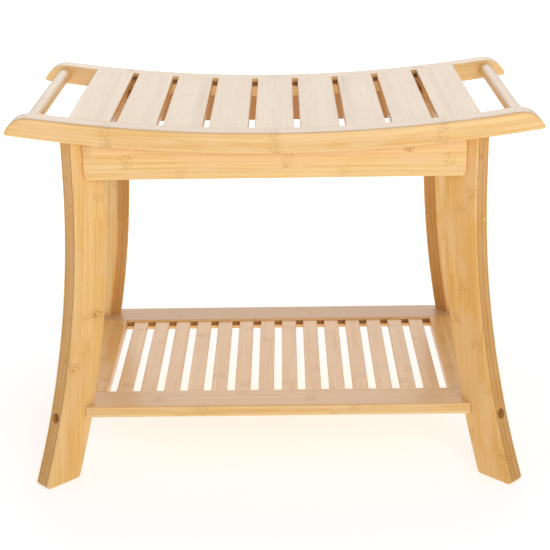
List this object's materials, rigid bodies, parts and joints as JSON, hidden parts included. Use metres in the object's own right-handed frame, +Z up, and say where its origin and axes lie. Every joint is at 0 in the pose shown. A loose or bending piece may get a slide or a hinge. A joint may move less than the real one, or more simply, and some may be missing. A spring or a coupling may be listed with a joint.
{
  "type": "shower stool",
  "caption": "Rigid bamboo shower stool with a dished slatted seat, round grip bars at both ends, diagonal sabre legs and a slatted shelf near the floor.",
  "frame": {"origin": "on the floor, under the middle of the seat", "axes": "+X along the bench to the right as seen from the front, +Y from front to back, +Z up"},
  "size_m": [0.6102, 0.413, 0.447],
  "materials": {
    "bamboo_board": "satin lacquered laminated bamboo",
    "bamboo_slat": "satin lacquered laminated bamboo",
    "bamboo_bar": "satin lacquered turned bamboo",
    "stainless_steel": "satin",
    "insert_brass": "satin",
    "zinc_steel": "satin"
  },
  "bodies": {
    "root": {"seat_rail_front": "bamboo_board", "seat_rail_rear": "bamboo_board", "apron_front": "bamboo_board", "apron_rear": "bamboo_board", "apron_left": "bamboo_board", "apron_right": "bamboo_board", "leg_front_left": "bamboo_board", "leg_front_right": "bamboo_board", "leg_rear_left": "bamboo_board", "leg_rear_right": "bamboo_board", "corner_block_front_left": "bamboo_board", "corner_block_front_right": "bamboo_board", "corner_block_rear_left": "bamboo_board", "corner_block_rear_right": "bamboo_board", "shelf_rail_front": "bamboo_board", "shelf_rail_rear": "bamboo_board", "shelf_end_left": "bamboo_board", "shelf_end_right": "bamboo_board", "seat_slat_1": "bamboo_slat", "seat_slat_2": "bamboo_slat", "seat_slat_3": "bamboo_slat", "seat_slat_4": "bamboo_slat", "seat_slat_5": "bamboo_slat", "seat_slat_6": "bamboo_slat", "seat_slat_7": "bamboo_slat", "seat_slat_8": "bamboo_slat", "seat_slat_9": "bamboo_slat", "shelf_slat_1": "bamboo_slat", "shelf_slat_2": "bamboo_slat", "shelf_slat_3": "bamboo_slat", "shelf_slat_4": "bamboo_slat", "shelf_slat_5": "bamboo_slat", "shelf_slat_6": "bamboo_slat", "shelf_slat_7": "bamboo_slat", "shelf_slat_8": "bamboo_slat", "shelf_slat_9": "bamboo_slat", "shelf_slat_10": "bamboo_slat", "shelf_slat_11": "bamboo_slat", "shelf_slat_12": "bamboo_slat", "shelf_slat_13": "bamboo_slat", "shelf_slat_14": "bamboo_slat", "grip_bar_left": "bamboo_bar", "grip_bar_right": "bamboo_bar", "shelf_bolts": "stainless_steel", "leg_bolts": "stainless_steel", "leg_washers": "stainless_steel", "shelf_inserts": "insert_brass", "leg_inserts": "insert_brass", "block_screws": "zinc_steel", "seat_screws": "zinc_steel"}
  },
  "joints": []
}
